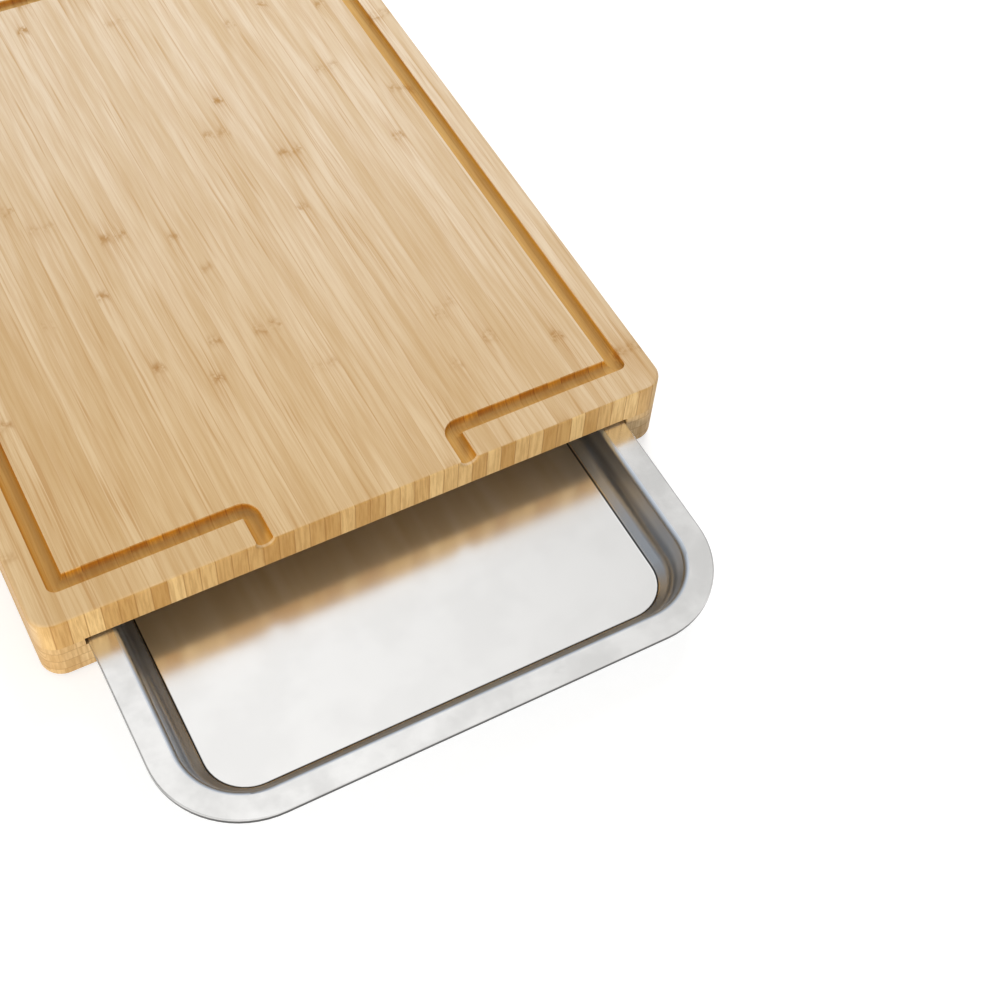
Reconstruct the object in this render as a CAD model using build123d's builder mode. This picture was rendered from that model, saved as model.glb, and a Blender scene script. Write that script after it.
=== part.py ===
from build123d import *
from math import cos, radians, sin, tan
import os

# A bamboo cutting board on side runners, with a pressed steel tray that slides in under the board.
# Frame: +X to the right seen from the front, +Y from the front to the back, +Z up from the table.
# The tray is drawn partly pulled out, and the origin is under the middle of board and tray together.

# ---- driving dimensions, mm --------------------------------------------------------------------
board_width = 300.0
board_depth = 390.0
panel_thickness = 18.0
spacer_thickness = 4.0
runner_height = 18.0
corner_radius = 10.0
top_easing = 1.5
slot_easing = 0.8
bottom_easing = 3.0
inner_easing = 1.0

groove_width = 8.0
groove_margin_side = 12.0
groove_margin_front = 15.0
mouth_offset = 48.5
mouth_turn_radius = 4.3

spacer_width = 19.0
runner_width = 30.0
rear_width = 16.0

tray_half_width = 130.0
tray_length = 372.0
tray_pull = 107.0
sheet = 0.8
flange_width = 11.0
flange_corner = 42.0
flange_gap = 1.4
lip_height = 2.3
lip_bend = 0.7
tray_depth = 17.6
rim_radius = 2.5
wall_angle = 17.0
waist_radius = 8.0
band_angle = 52.0
band_height = 4.6
crease_radius = 1.5

dowel_diameter = 6.0
dowel_length = 24.0
dowel_in_panel = 10.0
dowel_hole_diameter = 6.1
dowel_chamfer = 0.6
side_dowel_rows = 4
side_dowel_pitch = 106.0
rear_dowel_rows = 3
rear_dowel_pitch = 90.0

foot_diameter = 14.0
foot_height = 4.5
foot_stand = 1.5
foot_edge = 0.6
foot_pocket_diameter = 14.4
foot_inset_x = 14.5
foot_inset_y = 26.0

screw_diameter = 2.9
screw_hole_diameter = 3.0
screw_length = 13.0
screw_head_diameter = 6.0
screw_head_height = 1.7
screw_head_room = 6.4
screw_sink = 1.0
screw_head_round = 0.7
screw_point = 2.5
screw_point_in = 1.2
cross_length = 3.2
cross_width = 0.7
cross_depth = 1.0

# ---- levels and places worked out from them ----------------------------------------------------
half_width = board_width / 2
runner_base = foot_stand
runner_top = runner_base + runner_height
slot_top = runner_top + spacer_thickness
panel_top = slot_top + panel_thickness
board_front = (tray_pull - board_depth) / 2
board_back = board_front + board_depth
board_middle = board_front + board_depth / 2

slot_half_width = half_width - spacer_width
ledge_half_width = half_width - runner_width
rear_middle = board_back - rear_width / 2

groove_radius = groove_width / 2
groove_x = half_width - groove_margin_side - groove_radius
groove_front_y = board_front + groove_margin_front + groove_radius
groove_back_y = board_back - groove_margin_side - groove_radius

flange_top = slot_top - flange_gap
flange_base = flange_top - sheet
lip_base = flange_top - lip_height
tray_floor = flange_top - tray_depth
tray_middle = board_front - tray_pull + tray_length / 2
tray_width = 2 * tray_half_width
rim_bend = rim_radius * tan(radians(45 - wall_angle / 2))
rim_inset = flange_width + rim_bend
waist_level = tray_floor + band_height
waist_inset = rim_inset + (flange_top - waist_level) * tan(radians(wall_angle))
# how far the sheet's underside lies outside and below its top, where the wall meets the flange and the band
skin_shift = sheet / cos(radians(wall_angle)) - sheet * tan(radians(wall_angle))
skin_mitre = sheet / (1 + cos(radians(band_angle - wall_angle)))
waist_shift = skin_mitre * (cos(radians(wall_angle)) + cos(radians(band_angle)))
waist_drop = skin_mitre * (sin(radians(wall_angle)) + sin(radians(band_angle)))

dowel_x = half_width - spacer_width / 2
dowel_base = slot_top + dowel_in_panel - dowel_length

foot_x = half_width - foot_inset_x
screw_head_top = screw_sink + screw_head_height
screw_top = screw_sink + screw_length


# ---- places that several pieces share ----------------------------------------------------------
def side_dowel_spots(side):
    """Where the dowels of one long side stand."""
    first = board_middle - side_dowel_pitch * (side_dowel_rows - 1) / 2
    return [(side * dowel_x, first + side_dowel_pitch * row) for row in range(side_dowel_rows)]


def rear_dowel_spots():
    """Where the dowels of the rear rail stand."""
    first = -rear_dowel_pitch * (rear_dowel_rows - 1) / 2
    return [(first + rear_dowel_pitch * row, rear_middle) for row in range(rear_dowel_rows)]


def foot_spots(side):
    """The two feet under one runner, front first."""
    return [(side * foot_x, board_front + foot_inset_y), (side * foot_x, board_back - foot_inset_y)]


side_name = {-1: "left", 1: "right"}

# ---- the outline of the whole board, cut into layers --------------------------------------------
with BuildSketch() as board_outline:
    with Locations((0, board_middle)):
        RectangleRounded(board_width, board_depth, corner_radius)

# the bores for every dowel, from the runners up into the panel
with BuildPart() as dowel_bores:
    with BuildSketch(Plane.XY.offset(dowel_base)):
        with Locations(*side_dowel_spots(-1), *side_dowel_spots(1), *rear_dowel_spots()):
            Circle(dowel_hole_diameter / 2)
    extrude(amount=dowel_length)

# ---- juice groove: the path of a round-nosed cutter, out to two mouths at the front -------------
with BuildPart() as juice_groove:
    corners = [
        (-groove_x, groove_front_y, panel_top),
        (-groove_x, groove_back_y, panel_top),
        (groove_x, groove_back_y, panel_top),
        (groove_x, groove_front_y, panel_top),
    ]
    for start, end in zip(corners, corners[1:]):
        run = Vector(*end) - Vector(*start)
        with BuildSketch(Plane(origin=start, z_dir=run)):
            Circle(groove_radius)
        extrude(amount=run.length)
    with Locations(*corners):
        Sphere(groove_radius)
    for side in side_name:
        with BuildLine(Plane.XY.offset(panel_top)) as turn:
            FilletPolyline(
                (side * groove_x, groove_front_y),
                (side * mouth_offset, groove_front_y),
                (side * mouth_offset, board_front - groove_width),
                radius=mouth_turn_radius,
            )
        with BuildSketch(Plane(origin=turn.line @ 0, z_dir=turn.line % 0)):
            Circle(groove_radius)
        sweep(path=turn.line)

# the eased lip round each mouth, a bell that opens onto the front face
with BuildPart() as mouth_bell:
    with BuildSketch(Plane.XY) as bell_profile:
        with BuildLine():
            Polyline((0, top_easing), (0, 0), (groove_radius + top_easing, 0))
            RadiusArc((groove_radius + top_easing, 0), (groove_radius, top_easing), top_easing)
            Line((groove_radius, top_easing), (0, top_easing))
        make_face()
    revolve(axis=Axis.Y)

# ---- cutting panel: upright bamboo strips glued side by side ------------------------------------
with BuildPart() as cutting_panel:
    with BuildSketch(Plane.XY.offset(slot_top)):
        add(board_outline.sketch)
    extrude(amount=panel_thickness)
    fillet(cutting_panel.faces().sort_by(Axis.Z)[-1].edges(), radius=top_easing)
    add(juice_groove.part, mode=Mode.SUBTRACT)
    with Locations((-mouth_offset, board_front, panel_top), (mouth_offset, board_front, panel_top)):
        add(mouth_bell.part, mode=Mode.SUBTRACT)
    add(dowel_bores.part, mode=Mode.SUBTRACT)
    # the lower front edge is eased only over the tray, between the spacers
    with BuildSketch(Plane.YZ.offset(-slot_half_width)):
        with BuildLine():
            upper = (board_front, slot_top + slot_easing)
            inner = (board_front + slot_easing, slot_top)
            Polyline(upper, (board_front, slot_top), inner)
            RadiusArc(inner, upper, slot_easing)
        make_face()
    extrude(amount=2 * slot_half_width, mode=Mode.SUBTRACT)
cutting_panel.part.label = "cutting_panel"


# ---- spacers: one bamboo ply thick, they hold the slot open for the tray's flange ----------------
def slot_spacer(side):
    """The ply along one long side, rounded at its two outer corners like the board."""
    with BuildPart() as spacer:
        with BuildSketch(Plane.XY.offset(runner_top)):
            add(board_outline.sketch)
            with Locations((side * dowel_x, board_middle)):
                Rectangle(spacer_width, board_depth, mode=Mode.INTERSECT)
        extrude(amount=spacer_thickness)
        add(dowel_bores.part, mode=Mode.SUBTRACT)
    spacer.part.label = side_name[side] + "_slot_spacer"
    return spacer.part


with BuildPart() as rear_slot_spacer:
    with BuildSketch(Plane.XY.offset(runner_top)):
        with Locations((0, rear_middle)):
            Rectangle(2 * slot_half_width, rear_width)
    extrude(amount=spacer_thickness)
    add(dowel_bores.part, mode=Mode.SUBTRACT)
rear_slot_spacer.part.label = "rear_slot_spacer"


# ---- runners and rear rail: the board stands on these, and the tray's flange rides on the runners --
# pockets for the feet and pilot bores for their screws
with BuildPart() as foot_seats:
    with BuildSketch(Plane.XY):
        with Locations(*foot_spots(-1), *foot_spots(1)):
            Circle(foot_pocket_diameter / 2)
    extrude(amount=foot_height)
    with BuildSketch(Plane.XY):
        with Locations(*foot_spots(-1), *foot_spots(1)):
            Circle(screw_hole_diameter / 2)
    extrude(amount=screw_top)


def side_runner(side):
    """The thick laminated rail along one long side."""
    with BuildPart() as runner:
        with BuildSketch(Plane.XY.offset(runner_base)):
            add(board_outline.sketch)
        extrude(amount=runner_height)
        fillet(runner.faces().sort_by(Axis.Z)[0].edges(), radius=bottom_easing)
        with BuildSketch(Plane.XY.offset(runner_base)):
            with Locations((side * (half_width - runner_width / 2), board_middle)):
                Rectangle(runner_width, board_depth)
        extrude(amount=runner_height, mode=Mode.INTERSECT)
        inner_face = runner.faces().filter_by(Axis.X).sort_by(Axis.X)[0 if side > 0 else -1]
        fillet(inner_face.edges().filter_by(Axis.Y).sort_by(Axis.Z)[0], radius=inner_easing)
        add(dowel_bores.part, mode=Mode.SUBTRACT)
        add(foot_seats.part, mode=Mode.SUBTRACT)
    runner.part.label = side_name[side] + "_runner"
    return runner.part


with BuildPart() as rear_rail:
    with BuildSketch(Plane.XY.offset(runner_base)):
        with Locations((0, rear_middle)):
            Rectangle(2 * ledge_half_width, rear_width)
    extrude(amount=runner_height)
    fillet(rear_rail.edges().filter_by(Axis.X).group_by(Axis.Z)[0].sort_by(Axis.Y)[-1], radius=bottom_easing)
    fillet(rear_rail.edges().filter_by(Axis.X).group_by(Axis.Z)[0].sort_by(Axis.Y)[0], radius=inner_easing)
    add(dowel_bores.part, mode=Mode.SUBTRACT)
rear_rail.part.label = "rear_rail"


# ---- drip tray: one steel sheet pressed into a shallow pan with a flat flange and a rolled lip ----
# a steep wall drops from the rim to a waist, and a gentler band runs on from there to a crisp crease at the floor
def tray_outline(inset):
    """The rounded rectangle of the flange, drawn in by an inset all round."""
    with Locations((0, tray_middle)):
        RectangleRounded(tray_width - 2 * inset, tray_length - 2 * inset, flange_corner - inset)


with BuildPart() as tray_hollow:
    with BuildSketch(Plane.XY.offset(flange_top)):
        tray_outline(rim_inset)
    extrude(amount=waist_level - flange_top, taper=wall_angle)
    with BuildSketch(Plane.XY.offset(waist_level)):
        tray_outline(waist_inset)
    extrude(amount=-band_height, taper=band_angle)
    fillet(tray_hollow.edges().filter_by(Plane.XY).group_by(Axis.Z)[1], radius=waist_radius)
    fillet(tray_hollow.faces().sort_by(Axis.Z)[0].edges(), radius=crease_radius)

with BuildPart() as drip_tray:
    # the outside of the pan, with its bend into the flange
    with BuildSketch(Plane.XY.offset(flange_base)):
        tray_outline(rim_inset - skin_shift)
    extrude(amount=waist_level - waist_drop - flange_base, taper=wall_angle)
    with BuildSketch(Plane.XY.offset(waist_level - waist_drop)):
        tray_outline(waist_inset - waist_shift)
    extrude(amount=tray_floor - sheet - waist_level + waist_drop, taper=band_angle)
    fillet(drip_tray.edges().filter_by(Plane.XY).group_by(Axis.Z)[1], radius=waist_radius + sheet)
    fillet(drip_tray.faces().sort_by(Axis.Z)[0].edges(), radius=crease_radius + sheet)
    with BuildSketch(Plane.XY.offset(flange_base)):
        tray_outline(0)
    extrude(amount=sheet)
    flange_underside = drip_tray.faces().filter_by(Plane.XY).sort_by(Axis.Z)[1]
    fillet(flange_underside.inner_wires()[0].edges(), radius=rim_radius - sheet)
    # the lip, turned down all round the flange
    with BuildSketch(Plane.XY.offset(lip_base)):
        tray_outline(0)
        with Locations((0, tray_middle)):
            lip_inside = (tray_width - 2 * sheet, tray_length - 2 * sheet)
            RectangleRounded(*lip_inside, flange_corner - sheet, mode=Mode.SUBTRACT)
    extrude(amount=flange_base - lip_base)
    # the hollow of the pan, then the bends at its rim and along the lip
    add(tray_hollow.part, mode=Mode.SUBTRACT)
    flange_face = drip_tray.faces().filter_by(Plane.XY).sort_by(Axis.Z)[-1]
    fillet(flange_face.inner_wires()[0].edges(), radius=rim_radius)
    flange_face = drip_tray.faces().filter_by(Plane.XY).sort_by(Axis.Z)[-1]
    fillet(flange_face.outer_wire().edges(), radius=lip_bend)
drip_tray.part.label = "drip_tray"


# ---- dowels: bamboo pins glued upright through runner, spacer and panel --------------------------
def dowel_set(spots, name):
    """The dowels of one rail, chamfered at both ends."""
    with BuildPart() as dowels:
        with BuildSketch(Plane.XY.offset(dowel_base)):
            with Locations(*spots):
                Circle(dowel_diameter / 2)
        extrude(amount=dowel_length)
        chamfer(dowels.edges().filter_by(GeomType.CIRCLE), length=dowel_chamfer)
    dowels.part.label = name
    return dowels.part


# ---- feet and their screws -----------------------------------------------------------------------
def rubber_foot(spot, name):
    """A rubber disc that sits in its pocket, with a deep hole so that the screw head stays off the table."""
    with BuildPart() as foot:
        with BuildSketch(Plane.XY):
            with Locations(spot):
                Circle(foot_diameter / 2)
        extrude(amount=foot_height)
        fillet(foot.edges().sort_by(Axis.Z)[0], radius=foot_edge)
        with BuildSketch(Plane.XY):
            with Locations(spot):
                Circle(screw_head_room / 2)
        extrude(amount=screw_head_top, mode=Mode.SUBTRACT)
        with BuildSketch(Plane.XY):
            with Locations(spot):
                Circle(screw_hole_diameter / 2)
        extrude(amount=foot_height, mode=Mode.SUBTRACT)
    foot.part.label = name
    return foot.part


def screw_set(spots, name):
    """Pan-head wood screws, pointing up, with a cross recess in each head."""
    with BuildPart() as screws:
        with BuildSketch(Plane.XY.offset(screw_sink)):
            with Locations(*spots):
                Circle(screw_head_diameter / 2)
        extrude(amount=screw_head_height)
        fillet(screws.edges().group_by(Axis.Z)[0], radius=screw_head_round)
        with BuildSketch(Plane.XY.offset(screw_head_top)):
            with Locations(*spots):
                Circle(screw_diameter / 2)
        extrude(amount=screw_top - screw_head_top)
        chamfer(screws.edges().group_by(Axis.Z)[-1], length=screw_point, length2=screw_point_in)
        with BuildSketch(Plane.XY.offset(screw_sink)):
            with Locations(*spots):
                Rectangle(cross_length, cross_width)
                Rectangle(cross_width, cross_length)
        extrude(amount=cross_depth, mode=Mode.SUBTRACT)
    screws.part.label = name
    return screws.part


# ---- every piece, each to its own file -----------------------------------------------------------
pieces = [cutting_panel.part, rear_slot_spacer.part, rear_rail.part, drip_tray.part]
pieces.append(dowel_set(rear_dowel_spots(), "rear_dowels"))
for side, word in side_name.items():
    pieces.append(slot_spacer(side))
    pieces.append(side_runner(side))
    pieces.append(dowel_set(side_dowel_spots(side), word + "_dowels"))
    for end, spot in zip(("front", "rear"), foot_spots(side)):
        pieces.append(rubber_foot(spot, f"{end}_{word}_foot"))
pieces.append(screw_set(foot_spots(-1) + foot_spots(1), "foot_screws"))

os.makedirs("parts", exist_ok=True)
for piece in pieces:
    export_step(piece, f"parts/{piece.label}.step")
    print(f"{piece.label:20s} {len(piece.solids())} solid(s), {piece.volume / 1000:8.2f} cm3, valid {piece.is_valid}")
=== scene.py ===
# %% [markdown]
# # A bamboo cutting board with a steel drip tray
#
# The board is a laminated bamboo panel on two side runners. A pressed steel tray hangs in slots between the
# panel and the runners, and slides out at the front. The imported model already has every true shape, so this
# script gives the pieces their finish, their light and their camera. Lengths are in metres, +X is right, +Y
# runs from the front to the back, and +Z is up.

import math

import bmesh
import bpy
from mathutils import Matrix, Vector

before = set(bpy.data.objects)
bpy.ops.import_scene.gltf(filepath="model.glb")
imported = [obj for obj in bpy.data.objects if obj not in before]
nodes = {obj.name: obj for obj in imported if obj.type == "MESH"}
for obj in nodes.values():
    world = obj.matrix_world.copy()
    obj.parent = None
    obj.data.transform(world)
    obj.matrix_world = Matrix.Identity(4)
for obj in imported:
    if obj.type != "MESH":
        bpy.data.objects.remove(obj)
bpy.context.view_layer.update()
print("pieces from the frame:", len(nodes))

# %% [markdown]
# ## Sizes from the frame
#
# Several finishes change at a height or at an edge, such as the board's top or the tray's floor. The
# numbers could be written out by hand, but they would be wrong after a change to the model. Here they are
# measured on the pieces' own vertices, in the same coordinates that the materials read.


# %% Sizes from the frame
def span(node_name):
    """The lowest and the highest corner of a piece."""
    places = [vertex.co for vertex in nodes[node_name].data.vertices]
    lowest = Vector([min(place[axis] for place in places) for axis in range(3)])
    highest = Vector([max(place[axis] for place in places) for axis in range(3)])
    return lowest, highest


panel_low, panel_high = span("cutting_panel")
print("panel reaches from", panel_low, "to", panel_high)

# %% [markdown]
# ## Camera
#
# The picture is taken from the front left and from above, fairly close, so the far end of the board is
# cropped away. A camera could be placed by eye. Here its place, the point that it looks at, its roll and
# its lens are the ones at which the board's long edges, its grooves and the tray fall where they should.

# %% Camera
CAMERA_PLACE = Vector((-0.1765, -0.5220, 0.6379))
CAMERA_AIM = Vector((0.0499, -0.1663, 0.0415))
CAMERA_ROLL = math.radians(5.05)
CAMERA_LENS = 61.03
SENSOR_WIDTH = 36.0


def place_camera():
    """The camera looks from its place at its aim, rolled about its own axis."""
    data = bpy.data.cameras.new("board_camera")
    data.lens = CAMERA_LENS
    data.sensor_width = SENSOR_WIDTH
    camera = bpy.data.objects.new("board_camera", data)
    gaze = (CAMERA_AIM - CAMERA_PLACE).to_track_quat("-Z", "Y").to_matrix()
    turn = gaze @ Matrix.Rotation(CAMERA_ROLL, 3, "Z")
    camera.matrix_world = Matrix.Translation(CAMERA_PLACE) @ turn.to_4x4()
    bpy.context.scene.collection.objects.link(camera)
    bpy.context.scene.camera = camera


place_camera()
print("camera is", round((CAMERA_AIM - CAMERA_PLACE).length, 3), "m from its aim")

# %% [markdown]
# ## Helpers for materials
#
# Every finish here is a small graph of nodes. These helpers add a node, feed a socket with either a number
# or another socket, and turn a given colour into the linear light that the renderer works in.


# %% Helpers for nodes
def linear(red, green, blue):
    """A display colour, 0 to 255, as linear light with alpha, by the sRGB curve."""
    parts = [part / 255 for part in (red, green, blue)]
    light = [part / 12.92 if part <= 0.04045 else ((part + 0.055) / 1.055) ** 2.4 for part in parts]
    return (*light, 1.0)


def feed(tree, socket, value):
    """Link a socket, or set it to a number, a colour or a vector."""
    if isinstance(value, bpy.types.NodeSocket):
        tree.links.new(value, socket)
    else:
        socket.default_value = value


def put(tree, kind, settings=None, **inputs):
    """Add a node, with its settings, and its inputs by socket name (underscores for spaces)."""
    node = tree.nodes.new(kind)
    for name, value in (settings or {}).items():
        setattr(node, name, value)
    for name, value in inputs.items():
        feed(tree, node.inputs[name.replace("_", " ")], value)
    return node


# %% Helpers for values
def calc(tree, operation, first, second=0.0, third=0.0):
    """One Math node."""
    node = put(tree, "ShaderNodeMath", {"operation": operation})
    for socket, value in zip(node.inputs, (first, second, third)):
        feed(tree, socket, value)
    return node.outputs[0]


def times(tree, first, *others):
    """The product of several values."""
    for other in others:
        first = calc(tree, "MULTIPLY", first, other)
    return first


def between(tree, value, low, high, to_low=0.0, to_high=1.0, smooth=True):
    """Map a value from one range to another, clamped."""
    kind = "SMOOTHSTEP" if smooth else "LINEAR"
    node = put(tree, "ShaderNodeMapRange", {"interpolation_type": kind}, Value=value)
    for socket, number in zip(list(node.inputs)[1:5], (low, high, to_low, to_high)):
        feed(tree, socket, number)
    return node.outputs[0]


def blended(tree, factor, first, second, how="MIX"):
    """Mix two colours."""
    node = put(tree, "ShaderNodeMix", {"data_type": "RGBA", "blend_type": how})
    feed(tree, node.inputs[0], factor)
    feed(tree, node.inputs[6], first)
    feed(tree, node.inputs[7], second)
    return node.outputs[2]


def chosen(tree, factor, first, second):
    """Mix two numbers."""
    node = put(tree, "ShaderNodeMix", {"data_type": "FLOAT"})
    feed(tree, node.inputs[0], factor)
    feed(tree, node.inputs[2], first)
    feed(tree, node.inputs[3], second)
    return node.outputs[0]


# %% Helpers for patterns
def stretched_noise(tree, vector, scale, detail=2.0, roughness=0.5):
    """Noise whose grains are 1/scale metres long in X, Y and Z."""
    placed = put(tree, "ShaderNodeMapping", Vector=vector, Scale=scale).outputs[0]
    noise = put(tree, "ShaderNodeTexNoise", Vector=placed, Scale=1.0, Detail=detail, Roughness=roughness)
    return noise.outputs["Fac"]


def random_of(tree, number, seed):
    """A random value for each whole number."""
    shifted = calc(tree, "ADD", number, seed)
    return put(tree, "ShaderNodeTexWhiteNoise", {"noise_dimensions": "1D"}, W=shifted).outputs["Value"]


# %% Helpers for groups
def new_group(name, inputs, outputs):
    """An empty node group with named sockets, and its input and output nodes."""
    tree = bpy.data.node_groups.new(name, "ShaderNodeTree")
    for socket_name, kind, value in inputs:
        socket = tree.interface.new_socket(socket_name, in_out="INPUT", socket_type="NodeSocket" + kind)
        if value is not None:
            socket.default_value = value
    for socket_name, kind in outputs:
        tree.interface.new_socket(socket_name, in_out="OUTPUT", socket_type="NodeSocket" + kind)
    return tree, tree.nodes.new("NodeGroupInput").outputs, tree.nodes.new("NodeGroupOutput").inputs


def use_group(tree, group, **inputs):
    """Place a group in a tree and feed its inputs."""
    node = tree.nodes.new("ShaderNodeGroup")
    node.node_tree = group
    for name, value in inputs.items():
        feed(tree, node.inputs[name.replace("_", " ")], value)
    return node.outputs


# %% [markdown]
# ## Bamboo strips
#
# The panel is 42 bamboo strips stood on edge and glued side by side. Each strip was split from another
# cane, so each has its own tone. A texture of stripes would repeat. Here the strip's number is worked out
# from X, and white noise turns the number into a tone, so that every strip differs and the same number
# serves again for the place of its joints and for the shift of its fibres.

# %% Group: strips
PANEL_WIDTH = (panel_high - panel_low).x
STRIP_COUNT = 42
SEAM_CORE = 0.0001
SEAM_HALF = 0.0004
ROUNDING_GUARD = 0.0001


def make_strip_group():
    tree, given, results = new_group(
        "bamboo_strips",
        [("Vector", "Vector", None), ("Strip Width", "Float", PANEL_WIDTH / STRIP_COUNT),
         ("First Seam", "Float", panel_low.x), ("Seed", "Float", 0.0)],
        [("Number", "Float"), ("Across", "Float"), ("Tone", "Float"), ("Seam", "Float")])
    x = put(tree, "ShaderNodeSeparateXYZ", Vector=given["Vector"]).outputs["X"]
    strips = calc(tree, "DIVIDE", calc(tree, "SUBTRACT", x, given["First Seam"]), given["Strip Width"])
    number = calc(tree, "FLOOR", calc(tree, "ADD", strips, ROUNDING_GUARD))
    across = calc(tree, "FRACT", strips)
    edge = calc(tree, "MINIMUM", across, calc(tree, "SUBTRACT", 1.0, across))
    from_seam = times(tree, edge, given["Strip Width"])
    feed(tree, results["Number"], number)
    feed(tree, results["Across"], across)
    feed(tree, results["Tone"], random_of(tree, number, given["Seed"]))
    feed(tree, results["Seam"], between(tree, from_seam, SEAM_CORE, SEAM_HALF, 1.0, 0.0))
    return tree


strip_group = make_strip_group()
print("group", strip_group.name, "has", len(strip_group.nodes), "nodes")

# %% [markdown]
# ## Bamboo fibres
#
# Bamboo has no rings. Its colour comes from bundles of fibres that run the whole length, so a cut along the
# grain shows fine streaks, broad paler clouds and, here and there, one long dark vein. A wave texture would
# be too even. Noise stretched dozens of times in Y gives all three, and a finer one gives pores. A slow
# noise lets the lines wander a little, and all of it is shifted by the strip's number, because no streak
# runs on across a seam. On the long sides, where X stands still, the height takes the place of X.

# %% Group: fibres
STRIP_SHIFT = 0.731
WANDER_SCALE = (30, 14, 30)
WANDER = 0.0022
# each layer's scale, detail, roughness, and the part of the noise that becomes 0 to 1
FIBRE_LAYERS = {
    "Streak": ((820, 22, 60), 3.0, 0.6, (0.36, 0.66)),
    "Cloud": ((140, 13, 40), 2.0, 0.5, (0.36, 0.64)),
    "Vein": ((520, 11, 60), 2.0, 0.5, (0.60, 0.72)),
    "Pore": ((2600, 45, 500), 2.0, 0.6, (0.55, 0.75)),
}


def added(tree, first, second):
    """The sum of two vectors."""
    node = put(tree, "ShaderNodeVectorMath", {"operation": "ADD"})
    feed(tree, node.inputs[0], first)
    feed(tree, node.inputs[1], second)
    return node.outputs[0]


def make_fibre_group():
    tree, given, results = new_group(
        "bamboo_fibres",
        [("Vector", "Vector", None), ("Number", "Float", 0.0), ("Side", "Float", 0.0)],
        [(name, "Float") for name in FIBRE_LAYERS])
    z = put(tree, "ShaderNodeSeparateXYZ", Vector=given["Vector"]).outputs["Z"]
    leaned = times(tree, z, given["Side"])
    apart = times(tree, given["Number"], STRIP_SHIFT)
    shift = put(tree, "ShaderNodeCombineXYZ", X=leaned, Y=apart).outputs[0]
    place = added(tree, given["Vector"], shift)
    wander = times(tree, stretched_noise(tree, place, WANDER_SCALE), WANDER)
    bent = added(tree, place, put(tree, "ShaderNodeCombineXYZ", X=wander).outputs[0])
    for name, (scale, detail, roughness, reach) in FIBRE_LAYERS.items():
        noise = stretched_noise(tree, bent, scale, detail, roughness)
        feed(tree, results[name], between(tree, noise, *reach))
    return tree


fibre_group = make_fibre_group()
print("group", fibre_group.name, "has", len(fibre_group.nodes), "nodes")

# %% [markdown]
# ## Bamboo joints
#
# A cane has a joint every quarter of a metre or so, and where a strip crosses one it shows a small brown
# mark with fibres that bend round it. Strips split from one cane are often laid side by side, and then
# their marks line up. A mark could be a random spot, but then it would fall on seams. Here it is a thin
# bent band across its own strip, with a dark core, broken up by noise, and a faint halo runs along the
# fibres.

# %% Group: joints
JOINT_SPACING = 0.26
JOINT_HALF = 0.0062
JOINT_CORE = 0.0036
JOINT_SAG = 0.009
JOINT_WOBBLE = 0.005
WOBBLE_SCALE = (300, 60, 200)
BLOTCH_NOISE = ((300, 230, 300), 2.0, 0.6)
HALO_HALF = 0.024
PAIRED_SHARE = 0.4
ALONE_SEED = 31.7
OWN_KEY = 3.1
JOINT_PLACE_SEED = 7.3
JOINT_STRENGTH_SEED = 52.1
WEAKEST_JOINT = 0.3
MARK_EDGE = (0.28, 0.5, 1.0, 0.2)
SOFT_STRENGTH = 0.55
SOFT_BREAKS = (0.30, 0.58)
CORE_STRENGTH = 0.6
CORE_BREAKS = (0.44, 0.62)


def joint_key(tree, number):
    """A number that two neighbours share where they came from one cane."""
    pair = calc(tree, "FLOOR", times(tree, number, 0.5))
    alone = calc(tree, "GREATER_THAN", random_of(tree, pair, ALONE_SEED), PAIRED_SHARE)
    own = times(tree, alone, times(tree, number, OWN_KEY))
    return calc(tree, "MULTIPLY_ADD", pair, 2.0, own)


def make_joint_group():
    tree, given, results = new_group(
        "bamboo_joints",
        [("Vector", "Vector", None), ("Number", "Float", 0.0), ("Across", "Float", 0.5)],
        [("Mark", "Float"), ("Halo", "Float")])
    y = put(tree, "ShaderNodeSeparateXYZ", Vector=given["Vector"]).outputs["Y"]
    key = joint_key(tree, given["Number"])
    turns = calc(tree, "ADD", calc(tree, "DIVIDE", y, JOINT_SPACING), random_of(tree, key, JOINT_PLACE_SEED))
    along = times(tree, calc(tree, "SUBTRACT", calc(tree, "FRACT", turns), 0.5), JOINT_SPACING)
    middle = calc(tree, "SUBTRACT", given["Across"], 0.5)
    sag = times(tree, middle, middle, JOINT_SAG)
    wobble = times(tree, stretched_noise(tree, given["Vector"], WOBBLE_SCALE), JOINT_WOBBLE)
    distance = calc(tree, "ABSOLUTE", calc(tree, "SUBTRACT", calc(tree, "ADD", along, sag), wobble))
    blotch = stretched_noise(tree, given["Vector"], *BLOTCH_NOISE)
    strength = between(tree, random_of(tree, key, JOINT_STRENGTH_SEED), 0.0, 1.0, WEAKEST_JOINT, 1.0, False)
    sides = between(tree, calc(tree, "ABSOLUTE", middle), *MARK_EDGE)
    soft_band = between(tree, distance, 0.0, JOINT_HALF, SOFT_STRENGTH, 0.0)
    soft = times(tree, soft_band, between(tree, blotch, *SOFT_BREAKS))
    core_band = between(tree, distance, 0.0, JOINT_CORE, CORE_STRENGTH, 0.0)
    core = times(tree, core_band, between(tree, blotch, *CORE_BREAKS))
    halo = between(tree, calc(tree, "ABSOLUTE", along), 0.0, HALO_HALF, 1.0, 0.0)
    feed(tree, results["Mark"], times(tree, calc(tree, "ADD", soft, core), strength, sides))
    feed(tree, results["Halo"], times(tree, halo, strength))
    return tree


joint_group = make_joint_group()
print("group", joint_group.name, "has", len(joint_group.nodes), "nodes")
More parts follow.
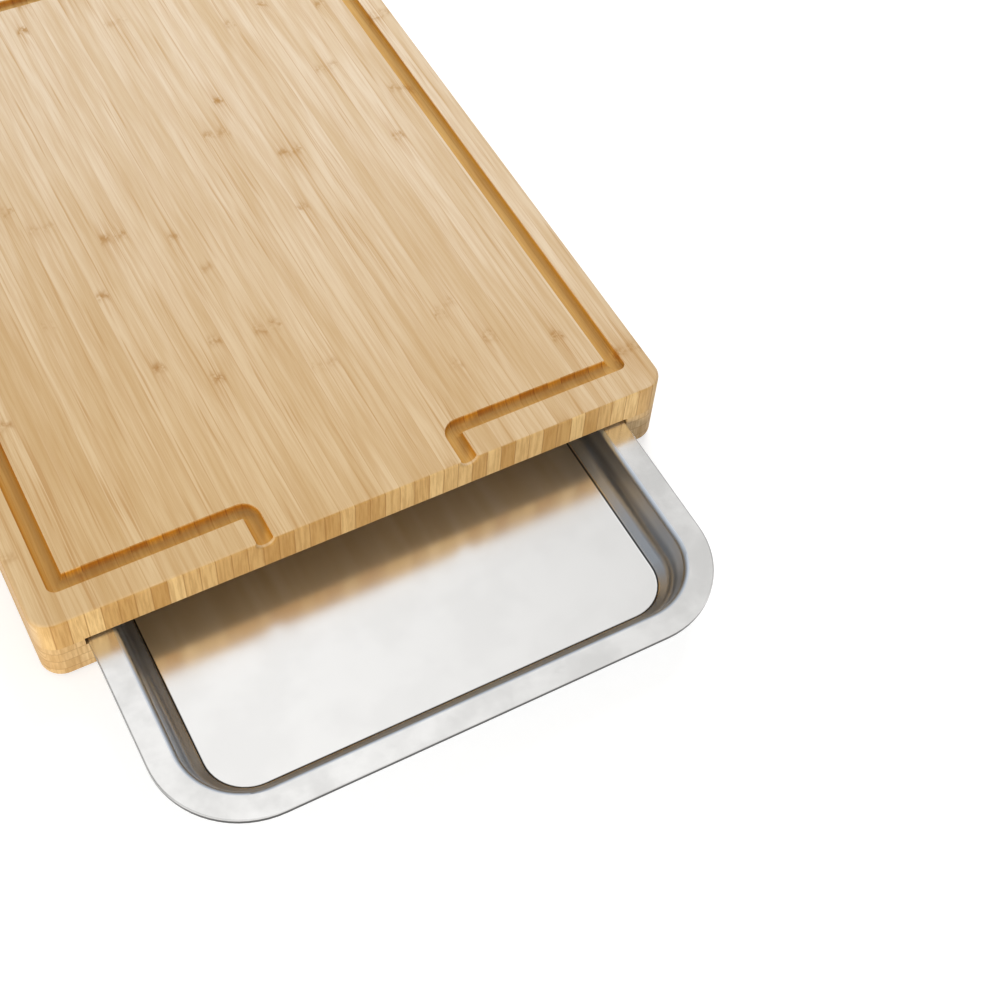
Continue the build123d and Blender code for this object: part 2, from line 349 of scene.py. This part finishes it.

# %% [markdown]
# ## The panel
#
# The top shows the strips' edges, pale and finely streaked, with painted shade that darkens it a little
# towards the front left. The front and back show their cut ends, which drink more oil and are darker, with
# every strip plain to see. The juice groove is cut across fibres, and its golden brown is partly that cut
# grain and partly painted shade and bounced light, darkest on its steep walls. Three materials would need the
# mesh to be split.
# One material serves here: the face's direction picks the end grain, and the depth under the top and the
# slope of the wall pick the groove.

# %% Panel colours
TOP_PALE = linear(242, 223, 197)
TOP_MIDDLE = linear(223, 196, 158)
TOP_STREAK = linear(201, 160, 107)
# painted shade: the top is multiplied by this towards the front left, where less light falls
PAINTED_SHADE_TINT = linear(241, 227, 197)
JOINT_BROWN = linear(184, 137, 72)
END_PALE = linear(240, 204, 141)
END_DARK = linear(200, 154, 86)
END_LINE = linear(164, 114, 52)
# the groove's colours: partly its cut grain, partly painted shade and bounced light, darker on the steep
# walls
GROOVE_FLOOR_TINT_AND_SHADE = linear(238, 214, 150)
GROOVE_WALL_TINT_AND_SHADE = linear(223, 181, 76)

# %% How much of each layer the panel shows
TOP_STRIP_SHARE = 0.46
TOP_CLOUD_SHARE = 0.54
TOP_STREAK_SHARE = 0.31
TOP_VEIN_SHARE = 0.62
TOP_HALO_SHARE = 0.45
TOP_SEAM_SHARE = 0.5
TOP_MARK_SHARE = 0.8
END_STREAK_SHARE = 0.42
END_PORE_SHARE = 0.12
END_SEAM_SHARE = 0.7
TOP_SEED = 43.8
END_SEED = 236.1

# %% Panel measures and finish
BOARD_TOP = panel_high.z
BOARD_MIDDLE_Y = (panel_low.y + panel_high.y) / 2
BOARD_DEPTH = (panel_high - panel_low).y
EDGE_ROUND = 0.0016
GROOVE_DEPTH = 0.0055
GROOVE_REACH = 0.1395
GROOVE_START = (0.0002, 0.0012)
GROOVE_WALL_SLOPE = (0.35, 0.97)
PAINTED_SHADE_SLANT = (0.6, 0.8)
PAINTED_SHADE_FROM = 0.17
PAINTED_SHADE_TO = -0.19
END_FACING = (0.45, 0.8)
SIDE_FACING = (0.6, 0.8)
PANEL_ROUGHNESS = (0.50, 0.62)
PANEL_BUMP = 0.3
STREAK_HEIGHT = -0.6
PORE_HEIGHT = -0.4
FIBRE_DEPTH = 0.0002


# %% Helpers for finishes
def new_material(name):
    """An empty material, and its tree."""
    material = bpy.data.materials.new(name)
    material.use_nodes = True
    material.node_tree.nodes.clear()
    return material, material.node_tree


def finish_bsdf(tree, colour, roughness, height, strength, distance):
    """A Principled BSDF with a bump, wired to the output."""
    bump = put(tree, "ShaderNodeBump", Height=height, Strength=strength, Distance=distance)
    bsdf = put(tree, "ShaderNodeBsdfPrincipled", Base_Color=colour, Roughness=roughness,
               Normal=bump.outputs["Normal"])
    output = put(tree, "ShaderNodeOutputMaterial")
    tree.links.new(bsdf.outputs[0], output.inputs["Surface"])
    return bsdf


def fibre_relief(tree, fibres):
    """The height of a bamboo surface: streaks and pores are sunken."""
    pores = times(tree, fibres["Pore"], PORE_HEIGHT)
    return calc(tree, "MULTIPLY_ADD", fibres["Streak"], STREAK_HEIGHT, pores)


def side_mask(tree, normal):
    """One on the long sides of a piece, where the surface looks along X."""
    return between(tree, calc(tree, "ABSOLUTE", normal["X"]), *SIDE_FACING)


# %% Panel grain
def long_grain(tree, strips, fibres, joints, position):
    """The colour of a face along the fibres, with painted shade that darkens it a little towards the front
    left.
    """
    tone = calc(tree, "MULTIPLY_ADD", strips["Tone"], TOP_STRIP_SHARE,
                times(tree, fibres["Cloud"], TOP_CLOUD_SHARE))
    colour = blended(tree, tone, TOP_MIDDLE, TOP_PALE)
    colour = blended(tree, times(tree, fibres["Streak"], TOP_STREAK_SHARE), colour, TOP_STREAK)
    colour = blended(tree, times(tree, fibres["Vein"], TOP_VEIN_SHARE), colour, TOP_STREAK)
    lines = calc(tree, "ADD", fibres["Streak"], fibres["Vein"])
    colour = blended(tree, times(tree, joints["Halo"], lines, TOP_HALO_SHARE), colour, TOP_STREAK)
    seam = times(tree, strips["Seam"], fibres["Cloud"], TOP_SEAM_SHARE)
    colour = blended(tree, seam, colour, TOP_STREAK)
    colour = blended(tree, times(tree, joints["Mark"], TOP_MARK_SHARE), colour, JOINT_BROWN)
    # painted shade, growing towards the front left
    slant = calc(tree, "MULTIPLY_ADD", position["X"], PAINTED_SHADE_SLANT[0], times(tree, position["Y"], PAINTED_SHADE_SLANT[1]))
    return blended(tree, between(tree, slant, PAINTED_SHADE_FROM, PAINTED_SHADE_TO), colour, PAINTED_SHADE_TINT, "MULTIPLY")


def end_grain(tree, strips, fibres):
    """The colour of a face across the fibres."""
    colour = blended(tree, random_of(tree, strips["Number"], END_SEED), END_DARK, END_PALE)
    colour = blended(tree, times(tree, fibres["Streak"], END_STREAK_SHARE), colour, END_LINE)
    colour = blended(tree, times(tree, fibres["Pore"], END_PORE_SHARE), colour, END_LINE)
    return blended(tree, times(tree, strips["Seam"], END_SEAM_SHARE), colour, END_LINE)


def groove_mask(tree, position):
    """One inside the juice groove, and zero elsewhere."""
    below = between(tree, calc(tree, "SUBTRACT", BOARD_TOP, position["Z"]), *GROOVE_START)
    inside = calc(tree, "LESS_THAN", calc(tree, "ABSOLUTE", position["X"]), GROOVE_REACH)
    level = calc(tree, "GREATER_THAN", position["Z"], BOARD_TOP - GROOVE_DEPTH)
    from_middle = calc(tree, "ABSOLUTE", calc(tree, "SUBTRACT", position["Y"], BOARD_MIDDLE_Y))
    off_ends = calc(tree, "LESS_THAN", from_middle, BOARD_DEPTH / 2 - EDGE_ROUND)
    return times(tree, below, inside, level, off_ends)


# %% Panel material
def make_panel_material():
    material, tree = new_material("bamboo_panel")
    place = put(tree, "ShaderNodeTexCoord").outputs["Object"]
    true_normal = put(tree, "ShaderNodeNewGeometry").outputs["Normal"]
    normal = put(tree, "ShaderNodeSeparateXYZ", Vector=true_normal).outputs
    position = put(tree, "ShaderNodeSeparateXYZ", Vector=place).outputs
    strips = use_group(tree, strip_group, Vector=place, Seed=TOP_SEED)
    number = strips["Number"]
    fibres = use_group(tree, fibre_group, Vector=place, Number=number, Side=side_mask(tree, normal))
    joints = use_group(tree, joint_group, Vector=place, Number=number, Across=strips["Across"])
    along = long_grain(tree, strips, fibres, joints, position)
    across = end_grain(tree, strips, fibres)
    facing = between(tree, calc(tree, "ABSOLUTE", normal["Y"]), *END_FACING)
    colour = blended(tree, facing, along, across)
    # painted shade in the groove, darkest on the steep walls, over the colour of its cut grain
    steep = between(tree, normal["Z"], *GROOVE_WALL_SLOPE, 1.0, 0.0)
    groove_tint_and_shade = blended(tree, steep, GROOVE_FLOOR_TINT_AND_SHADE, GROOVE_WALL_TINT_AND_SHADE)
    colour = blended(tree, groove_mask(tree, position), colour, groove_tint_and_shade, "MULTIPLY")
    roughness = between(tree, fibres["Streak"], 0.0, 1.0, *PANEL_ROUGHNESS, False)
    finish_bsdf(tree, colour, roughness, fibre_relief(tree, fibres), PANEL_BUMP, FIBRE_DEPTH)
    return material


panel_material = make_panel_material()
print("material", panel_material.name, "has", len(panel_material.node_tree.nodes), "nodes")

# %% [markdown]
# ## Runners, spacers and rear rail
#
# These are flat bamboo plies glued on each other, so their ends and sides show level glue lines and their
# top and bottom show broad strips. The panel's material could be laid on its side for them, but its strips
# are too narrow. Here a second material counts plies by height, as the panel's counts strips by width. The
# rear pieces lie crossways, so theirs is turned a quarter turn.

# %% Ply colours and measures
PLY_PALE = linear(232, 199, 146)
PLY_DARK = linear(207, 166, 107)
PLY_LINE = linear(163, 117, 62)
PLY_HEIGHT = 0.0060
PLY_KEY = 11.0
RUNNER_TOP = span("left_runner")[1].z
FLAT_STRIP = 0.020
FIRST_FLAT_SEAM = -0.155
PLY_TONE_SHARE = 0.6
PLY_CLOUD_SHARE = 0.4
PLY_STREAK_SHARE = 0.4
PLY_MARK_SHARE = 0.6
PLY_SEAM_SHARE = 0.6
PLY_LINE_SHARE = 0.5
PLY_ROUGHNESS = (0.52, 0.66)
PLY_BUMP = 0.35
LENGTHWAYS = 0.0
CROSSWAYS = math.radians(90)
LENGTHWAYS_SEED = 5.0
CROSSWAYS_SEED = 9.0
print("runners have", round((RUNNER_TOP - panel_low.z) / PLY_HEIGHT, 1), "plies under the panel")


# %% Ply material
def ply_levels(tree, height):
    """The number of the ply at a height, and one at its glue lines."""
    plies = calc(tree, "DIVIDE", calc(tree, "SUBTRACT", RUNNER_TOP, height), PLY_HEIGHT)
    within = calc(tree, "FRACT", plies)
    near = calc(tree, "MINIMUM", within, calc(tree, "SUBTRACT", 1.0, within))
    line = between(tree, times(tree, near, PLY_HEIGHT), SEAM_CORE, SEAM_HALF, 1.0, 0.0)
    return calc(tree, "FLOOR", plies), line


def make_ply_material(name, turn, seed):
    material, tree = new_material(name)
    raw = put(tree, "ShaderNodeTexCoord").outputs["Object"]
    place = put(tree, "ShaderNodeMapping", Vector=raw, Rotation=(0, 0, turn)).outputs[0]
    true_normal = put(tree, "ShaderNodeNewGeometry").outputs["Normal"]
    turned = put(tree, "ShaderNodeMapping", Vector=true_normal, Rotation=(0, 0, turn)).outputs[0]
    normal = put(tree, "ShaderNodeSeparateXYZ", Vector=turned).outputs
    position = put(tree, "ShaderNodeSeparateXYZ", Vector=place).outputs
    ply, line = ply_levels(tree, position["Z"])
    strips = use_group(tree, strip_group, Vector=place, Strip_Width=FLAT_STRIP, First_Seam=FIRST_FLAT_SEAM,
                       Seed=seed)
    number = calc(tree, "MULTIPLY_ADD", ply, PLY_KEY, strips["Number"])
    fibres = use_group(tree, fibre_group, Vector=place, Number=number, Side=side_mask(tree, normal))
    joints = use_group(tree, joint_group, Vector=place, Number=number, Across=strips["Across"])
    cloud = times(tree, fibres["Cloud"], PLY_CLOUD_SHARE)
    tone = calc(tree, "MULTIPLY_ADD", random_of(tree, number, seed), PLY_TONE_SHARE, cloud)
    colour = blended(tree, tone, PLY_DARK, PLY_PALE)
    colour = blended(tree, times(tree, fibres["Streak"], PLY_STREAK_SHARE), colour, PLY_LINE)
    colour = blended(tree, times(tree, joints["Mark"], PLY_MARK_SHARE), colour, JOINT_BROWN)
    seams = calc(tree, "MAXIMUM", line, times(tree, strips["Seam"], PLY_SEAM_SHARE))
    colour = blended(tree, times(tree, seams, PLY_LINE_SHARE), colour, PLY_LINE)
    roughness = between(tree, fibres["Streak"], 0.0, 1.0, *PLY_ROUGHNESS, False)
    finish_bsdf(tree, colour, roughness, fibre_relief(tree, fibres), PLY_BUMP, FIBRE_DEPTH)
    return material


ply_material = make_ply_material("bamboo_ply_lengthways", LENGTHWAYS, LENGTHWAYS_SEED)
cross_ply_material = make_ply_material("bamboo_ply_crossways", CROSSWAYS, CROSSWAYS_SEED)
print("ply materials:", ply_material.name, cross_ply_material.name)

# %% [markdown]
# ## Dowels
#
# Each rail is pinned to the panel by bamboo pins. They are hidden once glued, so a material with joints and
# seams would be wasted on them. A pale, plain bamboo with its fibres along the pin is enough.

# %% Dowel material
DOWEL_TURN = math.radians(90)
DOWEL_STRIP = 2.0
DOWEL_ROUGHNESS = (0.6, 0.7)


def make_dowel_material():
    material, tree = new_material("bamboo_dowel")
    raw = put(tree, "ShaderNodeTexCoord").outputs["Object"]
    place = put(tree, "ShaderNodeMapping", Vector=raw, Rotation=(DOWEL_TURN, 0, 0)).outputs[0]
    fibres = use_group(tree, fibre_group, Vector=place, Number=DOWEL_STRIP)
    colour = blended(tree, fibres["Streak"], TOP_PALE, TOP_STREAK)
    roughness = between(tree, fibres["Cloud"], 0.0, 1.0, *DOWEL_ROUGHNESS)
    finish_bsdf(tree, colour, roughness, fibres["Streak"], PANEL_BUMP, FIBRE_DEPTH)
    return material


dowel_material = make_dowel_material()
print("material", dowel_material.name, "is made")

# %% [markdown]
# ## The tray's steel
#
# The tray is pressed from sheet with a satin finish. Its floor is even, because the die never wiped it. The
# flange is cloudy and the walls are duller. The walls carry a painted reflection, cooler and greyer than the
# flange and greyest just above the bend in them, which starts just before the rim to dim its highlight. The
# turned-down lip and the crease round the floor are darkened with painted shade. A single colour and
# roughness would make it look like plastic foil. Here the distance from the tray's outline, measured as for a
# rectangle with round corners, tells flange and lip from wall, the height tells floor, crease and bend apart,
# and soft patches vary the rest.

# %% Steel colours
STEEL_PALE = linear(241, 240, 238)
STEEL_DARK = linear(226, 225, 223)
# painted shade and dark reflection on the turned-down lip
LIP_PAINTED_SHADE = linear(74, 73, 72)
# painted reflection on the walls: cooler and greyer than the flange, greyest at the waist
WALL_PAINTED_REFLECTION = linear(206, 214, 224)
WAIST_PAINTED_REFLECTION = linear(158, 166, 176)
# painted shade in the crease round the floor
CREASE_PAINTED_SHADE = linear(78, 79, 81)

# %% Tray measures
tray_low, tray_high = span("drip_tray")
SHEET_THICKNESS = 0.0008
TRAY_FLOOR_TOP = tray_low.z + SHEET_THICKNESS
FLANGE_TOP = tray_high.z
TRAY_MIDDLE_Y = (tray_low.y + tray_high.y) / 2
TRAY_HALF_WIDTH = (tray_high - tray_low).x / 2
TRAY_HALF_LENGTH = (tray_high - tray_low).y / 2
TRAY_CORNER = 0.042
LIP_WIDTH = 0.0012
FLANGE_WIDTH = 0.011
RIM_START = 0.0005
WAIST_LEVEL = 0.0125
WAIST_HALF = 0.0040
FLOOR_EDGE = (TRAY_FLOOR_TOP + 0.0002, TRAY_FLOOR_TOP + 0.0012)
CREASE_FOOT = (TRAY_FLOOR_TOP + 0.00002, TRAY_FLOOR_TOP + 0.00010)
CREASE_HEAD = (TRAY_FLOOR_TOP + 0.00035, TRAY_FLOOR_TOP + 0.00060)
LIP_HEAD = (FLANGE_TOP - 0.0007, FLANGE_TOP - 0.0002)
print("tray reaches from", tray_low, "to", tray_high)

# %% Steel finish
# a roughness is a base, and what patches and what grain add to it
PATCH_NOISE = ((38, 38, 38), 4.0, 0.55)
PATCH_RANGE = (0.36, 0.64)
GRAIN_SCALE = (420, 900, 420)
FLOOR_PATCH_SHARE = 0.2
FLANGE_ROUGHNESS = (0.15, 0.06, 0.04)
FLOOR_ROUGHNESS = (0.19, 0.02, 0.02)
WALL_ROUGHNESS = 0.12
STEEL_BUMP = 0.01
STEEL_DEPTH = 0.00002


# %% Where a point of the tray lies
def from_outline(tree, position):
    """How far inside the tray's outline a point lies, in plan."""
    sideways = calc(tree, "ABSOLUTE", position["X"])
    lengthways = calc(tree, "ABSOLUTE", calc(tree, "SUBTRACT", position["Y"], TRAY_MIDDLE_Y))
    aside = calc(tree, "SUBTRACT", sideways, TRAY_HALF_WIDTH - TRAY_CORNER)
    beyond = calc(tree, "SUBTRACT", lengthways, TRAY_HALF_LENGTH - TRAY_CORNER)
    aside = calc(tree, "MAXIMUM", aside, 0.0)
    beyond = calc(tree, "MAXIMUM", beyond, 0.0)
    reach = calc(tree, "SQRT", calc(tree, "MULTIPLY_ADD", aside, aside, times(tree, beyond, beyond)))
    return calc(tree, "SUBTRACT", TRAY_CORNER, reach)


def crease_mask(tree, height):
    """One on the thin crease between the floor and the wall."""
    return times(tree, between(tree, height, *CREASE_FOOT), between(tree, height, *CREASE_HEAD, 1.0, 0.0))


def waist_mask(tree, height):
    """One just above the bend in the wall, fading above and below it."""
    away = calc(tree, "ABSOLUTE", calc(tree, "SUBTRACT", height, WAIST_LEVEL))
    return between(tree, away, 0.0, WAIST_HALF, 1.0, 0.0)


def lip_mask(tree, height, inset):
    """One on the outside of the turned-down lip."""
    outside = between(tree, inset, LIP_WIDTH / 2, LIP_WIDTH, 1.0, 0.0)
    return times(tree, outside, between(tree, height, *LIP_HEAD, 1.0, 0.0))


# %% Steel material
def uneven(tree, base, patch_share, grain_share, patch, grain):
    """A roughness that patches and grain raise a little."""
    grained = calc(tree, "MULTIPLY_ADD", grain, grain_share, base)
    return calc(tree, "MULTIPLY_ADD", patch, patch_share, grained)


def make_steel_material():
    material, tree = new_material("tray_satin_steel")
    place = put(tree, "ShaderNodeTexCoord").outputs["Object"]
    position = put(tree, "ShaderNodeSeparateXYZ", Vector=place).outputs
    height = position["Z"]
    patch = between(tree, stretched_noise(tree, place, *PATCH_NOISE), *PATCH_RANGE)
    grain = stretched_noise(tree, place, GRAIN_SCALE)
    on_floor = between(tree, height, *FLOOR_EDGE, 1.0, 0.0)
    inset = from_outline(tree, position)
    # the walls' painted reflection starts just before the rim and dims its highlight
    past_flange = between(tree, inset, FLANGE_WIDTH - RIM_START, FLANGE_WIDTH + RIM_START)
    on_wall = times(tree, past_flange, calc(tree, "SUBTRACT", 1.0, on_floor))
    shade = times(tree, patch, between(tree, on_floor, 0.0, 1.0, 1.0, FLOOR_PATCH_SHARE, False))
    colour = blended(tree, shade, STEEL_PALE, STEEL_DARK)
    # painted reflection on the walls
    wall = blended(tree, waist_mask(tree, height), WALL_PAINTED_REFLECTION, WAIST_PAINTED_REFLECTION)
    colour = blended(tree, on_wall, colour, wall)
    # painted shade on the crease round the floor
    colour = blended(tree, crease_mask(tree, height), colour, CREASE_PAINTED_SHADE)
    # painted shade and dark reflection on the lip
    colour = blended(tree, lip_mask(tree, height, inset), colour, LIP_PAINTED_SHADE)
    off_floor = calc(tree, "MULTIPLY_ADD", on_wall, WALL_ROUGHNESS,
                     uneven(tree, *FLANGE_ROUGHNESS, patch, grain))
    roughness = chosen(tree, on_floor, off_floor, uneven(tree, *FLOOR_ROUGHNESS, patch, grain))
    bsdf = finish_bsdf(tree, colour, roughness, grain, STEEL_BUMP, STEEL_DEPTH)
    bsdf.inputs["Metallic"].default_value = 1.0
    return material


steel_material = make_steel_material()
print("material", steel_material.name, "has", len(steel_material.node_tree.nodes), "nodes")

# %% [markdown]
# ## Feet and screws
#
# The feet are moulded from black rubber, and each is held by a zinc plated screw. Flat black would hide the
# feet's shape, so a slow noise lays a little dust on the rubber and a fine one gives it a grain. The zinc
# is cloudy in colour and in gloss.

# %% Rubber and screw materials
RUBBER_BLACK = linear(44, 43, 42)
RUBBER_GREY = linear(62, 61, 59)
RUBBER_GRAIN = ((2500, 2500, 2500), 2.0, 0.6)
DUST_NOISE = ((180, 180, 180), 3.0, 0.6)
DUST_RANGE = (0.45, 0.75)
RUBBER_ROUGHNESS = (0.62, 0.8)
RUBBER_BUMP = 0.4
ZINC_PALE = linear(205, 207, 210)
ZINC_DARK = linear(168, 171, 176)
ZINC_NOISE = ((900, 900, 900), 3.0, 0.6)
ZINC_ROUGHNESS = (0.25, 0.4)
ZINC_BUMP = 0.1
NOISE_MIDDLE = (0.3, 0.7)
SMALL_DEPTH = 0.0001


def make_rubber_material():
    material, tree = new_material("foot_rubber")
    place = put(tree, "ShaderNodeTexCoord").outputs["Object"]
    grain = stretched_noise(tree, place, *RUBBER_GRAIN)
    dust = stretched_noise(tree, place, *DUST_NOISE)
    colour = blended(tree, between(tree, dust, *DUST_RANGE), RUBBER_BLACK, RUBBER_GREY)
    roughness = between(tree, dust, *NOISE_MIDDLE, *RUBBER_ROUGHNESS)
    finish_bsdf(tree, colour, roughness, grain, RUBBER_BUMP, SMALL_DEPTH)
    return material


def make_zinc_material():
    material, tree = new_material("screw_zinc")
    place = put(tree, "ShaderNodeTexCoord").outputs["Object"]
    cloud = stretched_noise(tree, place, *ZINC_NOISE)
    colour = blended(tree, cloud, ZINC_PALE, ZINC_DARK)
    roughness = between(tree, cloud, *NOISE_MIDDLE, *ZINC_ROUGHNESS)
    bsdf = finish_bsdf(tree, colour, roughness, cloud, ZINC_BUMP, SMALL_DEPTH)
    bsdf.inputs["Metallic"].default_value = 1.0
    return material


rubber_material = make_rubber_material()
zinc_material = make_zinc_material()
print("materials", rubber_material.name, "and", zinc_material.name, "are made")

# %% [markdown]
# ## Dress the pieces
#
# On the real board one plank, one glue-up and one sheet of steel each have one finish, so each piece gets
# one material. The pieces could be told apart by where they are, but a table by name is plainer to read.

# %% Assign the materials
FINISHES = {
    "cutting_panel": panel_material,
    "left_slot_spacer": ply_material,
    "right_slot_spacer": ply_material,
    "rear_slot_spacer": cross_ply_material,
    "left_runner": ply_material,
    "right_runner": ply_material,
    "rear_rail": cross_ply_material,
    "left_dowels": dowel_material,
    "right_dowels": dowel_material,
    "rear_dowels": dowel_material,
    "front_left_foot": rubber_material,
    "front_right_foot": rubber_material,
    "rear_left_foot": rubber_material,
    "rear_right_foot": rubber_material,
    "foot_screws": zinc_material,
    "drip_tray": steel_material,
}

for node_name, finish in FINISHES.items():
    slots = nodes[node_name].data.materials
    slots.clear()
    slots.append(finish)
print("dressed", len(FINISHES), "pieces")

# %% [markdown]
# ## Floor
#
# The floor is a plain white sheet. More light would make it white, and would burn out the pale bamboo too.
# Here it glows a little to the camera, on top of the light that falls on it, so it reaches white and still
# holds the object's faint shadow. Far out, where the lamps hardly reach, it glows more, so that no horizon
# shows. Polished steel sees the same glow.

# %% Floor
FLOOR_HALF = 4.0
FLOOR_WHITE = linear(208, 208, 208)
FLOOR_GLOW_NEAR = 0.60
FLOOR_GLOW_FAR = 0.72
GLOW_STEP = (0.5, 1.6)
WHITE = (1, 1, 1, 1)


def make_floor_material():
    material, tree = new_material("floor_white")
    diffuse = put(tree, "ShaderNodeBsdfDiffuse", Color=FLOOR_WHITE)
    path = put(tree, "ShaderNodeLightPath").outputs
    seen = calc(tree, "MAXIMUM", path["Is Camera Ray"], path["Is Glossy Ray"])
    place = put(tree, "ShaderNodeTexCoord").outputs["Object"]
    away = put(tree, "ShaderNodeVectorMath", {"operation": "LENGTH"}, Vector=place).outputs["Value"]
    strength = between(tree, away, *GLOW_STEP, FLOOR_GLOW_NEAR, FLOOR_GLOW_FAR)
    glow = put(tree, "ShaderNodeEmission", Color=WHITE, Strength=times(tree, seen, strength))
    both = put(tree, "ShaderNodeAddShader")
    tree.links.new(diffuse.outputs[0], both.inputs[0])
    tree.links.new(glow.outputs[0], both.inputs[1])
    output = put(tree, "ShaderNodeOutputMaterial")
    tree.links.new(both.outputs[0], output.inputs["Surface"])
    return material


def make_floor():
    sheet = bmesh.new()
    bmesh.ops.create_grid(sheet, x_segments=1, y_segments=1, size=FLOOR_HALF)
    mesh = bpy.data.meshes.new("floor")
    sheet.to_mesh(mesh)
    sheet.free()
    mesh.materials.append(make_floor_material())
    floor = bpy.data.objects.new("floor", mesh)
    bpy.context.scene.collection.objects.link(floor)
    print("floor is", 2 * FLOOR_HALF, "m wide")


make_floor()

# %% [markdown]
# ## Sky
#
# For wood the sky is even. A metal shows only what is round it, and looks like steel only where dark and
# bright meet, so for steel the sky is a studio: a soft box overhead, which is brightest left of the middle,
# a white wall in front, and behind the board a backdrop that is grey half-way down and dark near the
# horizon. It could be built of real panels, but these would throw light and shadow on the wood as well.

# %% Sky
SKY_EVEN = 0.50
# height of the direction, and the light there
SKY_STEPS = [(0.0, 0.06), (0.22, 0.12), (0.46, 0.36), (0.58, 0.60), (0.72, 0.60), (0.79, 1.0)]
BOX_LEFT = 1.12
BOX_RIGHT = 0.81
BOX_TURN = (0.05, 0.50)
BOX_EDGE = 0.66
EDGE_TURN = (-0.12, 0.13)
FRONT_WALL = 0.85
FRONT_TURN = (0.2, -0.2)


def studio_light(tree):
    """The light that steel sees, by direction."""
    direction = put(tree, "ShaderNodeTexCoord").outputs["Generated"]
    part = put(tree, "ShaderNodeSeparateXYZ", Vector=direction).outputs
    ramp = put(tree, "ShaderNodeValToRGB", Fac=part["Z"])
    steps = ramp.color_ramp.elements
    while len(steps) < len(SKY_STEPS):
        steps.new(0.5)
    for step, (height, light) in zip(steps, SKY_STEPS):
        step.position = height
        step.color = (light, light, light, 1.0)
    side = between(tree, part["X"], *BOX_TURN, BOX_LEFT, BOX_RIGHT)
    side = times(tree, side, between(tree, part["X"], *EDGE_TURN, BOX_EDGE, 1.0))
    back = times(tree, ramp.outputs["Color"], side)
    front = calc(tree, "MAXIMUM", back, FRONT_WALL)
    return chosen(tree, between(tree, part["Y"], *FRONT_TURN), back, front)


def make_sky():
    world = bpy.data.worlds.new("studio")
    world.use_nodes = True
    tree = world.node_tree
    tree.nodes.clear()
    path = put(tree, "ShaderNodeLightPath").outputs
    seen = chosen(tree, path["Is Diffuse Ray"], studio_light(tree), SKY_EVEN)
    seen = chosen(tree, path["Is Camera Ray"], seen, 1.0)
    background = put(tree, "ShaderNodeBackground", Color=WHITE, Strength=seen)
    output = put(tree, "ShaderNodeOutputWorld")
    tree.links.new(background.outputs[0], output.inputs["Surface"])
    bpy.context.scene.world = world


make_sky()
print("sky has", len(SKY_STEPS), "steps")

# %% [markdown]
# ## Lamps
#
# A white lamp behind and to the right lights the top. A warmer one, low and close at the front left, lights
# the front face and fades towards its right end. They could be small and hard, but large round ones give
# the soft edges of a studio. The steel doesn't show them, because its sky already has a soft box.

# %% Lamps
# name, place, diameter, power in watts, colour
LAMPS = [
    ("key_lamp", (0.75, 0.85, 1.15), 1.2, 14.0, (1.0, 1.0, 1.0)),
    ("front_lamp", (-0.9, -1.0, 0.3), 0.5, 10.5, (1.0, 0.93, 0.80)),
]


def add_lamp(name, place, size, power, colour):
    """A round soft lamp that looks at the board and that the steel doesn't show."""
    data = bpy.data.lights.new(name, "AREA")
    data.shape = "DISK"
    data.size = size
    data.energy = power
    data.color = colour
    lamp = bpy.data.objects.new(name, data)
    lamp.location = place
    lamp.rotation_euler = (-Vector(place)).to_track_quat("-Z", "Y").to_euler()
    lamp.visible_glossy = False
    bpy.context.scene.collection.objects.link(lamp)


for lamp in LAMPS:
    add_lamp(*lamp)
print("lamps placed:", len(LAMPS))

# %% [markdown]
# ## Colour view
#
# The picture is shown in plain sRGB.

# %% Finish
bpy.context.scene.view_settings.view_transform = "Standard"
